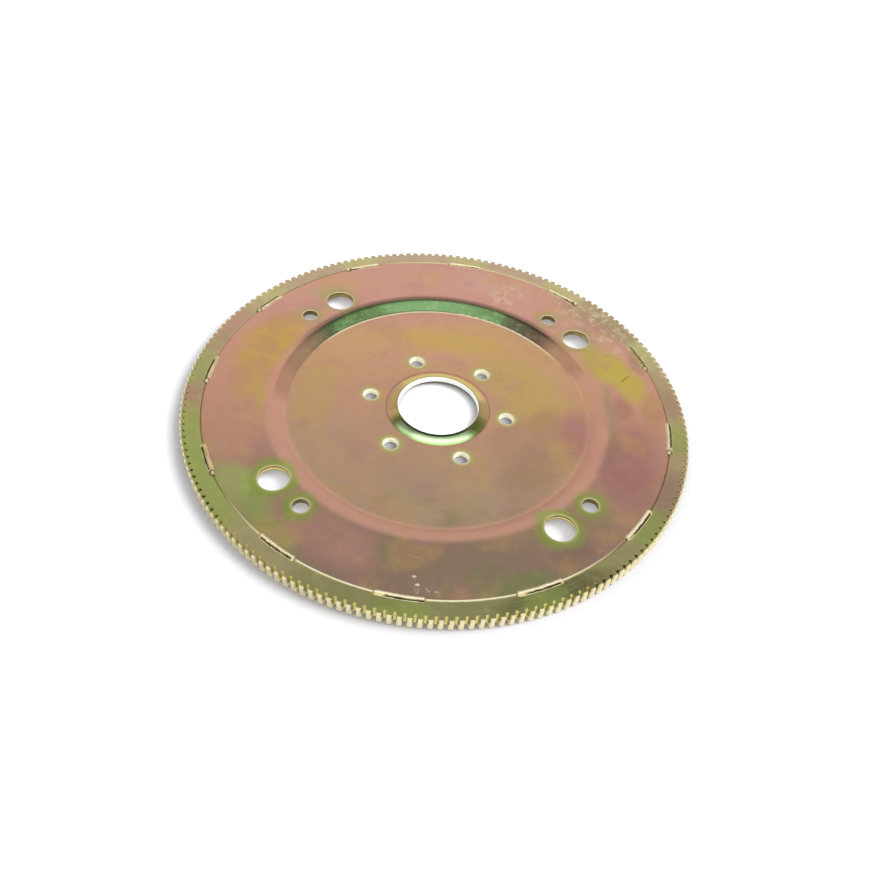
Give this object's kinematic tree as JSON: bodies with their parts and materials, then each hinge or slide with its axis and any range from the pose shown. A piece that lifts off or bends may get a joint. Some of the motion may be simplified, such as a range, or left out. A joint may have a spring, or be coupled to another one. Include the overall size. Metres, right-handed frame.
{
  "type": "flexplate",
  "caption": "Dished steel flexplate with a lipped hub hole, bolt and access holes, and a toothed starter ring stitch welded round its rim, all in yellow zinc plating.",
  "frame": {"origin": "on the turning axis, on the underside of the pressed centre, which is the face it lies on", "axes": "+Z is the turning axis, up through the side that shows in the picture; +X points at the even place of the crank bolt hole that is set off from the others"},
  "size_m": [0.3928, 0.3928, 0.0117],
  "materials": {
    "plated_disc": "yellow chromate zinc plating, iridescent gold, pink and green",
    "plated_ring": "yellow chromate zinc plating over turned and hobbed steel, pale gold on the teeth",
    "weld_metal": "rippled weld bead under yellow chromate zinc plating"
  },
  "bodies": {
    "root": {"flexplate_disc": "plated_disc", "ring_gear": "plated_ring", "weld_bead_01": "weld_metal", "weld_bead_02": "weld_metal", "weld_bead_03": "weld_metal", "weld_bead_04": "weld_metal", "weld_bead_05": "weld_metal", "weld_bead_06": "weld_metal", "weld_bead_07": "weld_metal", "weld_bead_08": "weld_metal", "weld_bead_09": "weld_metal", "weld_bead_10": "weld_metal", "weld_bead_11": "weld_metal", "weld_bead_12": "weld_metal"}
  },
  "joints": []
}
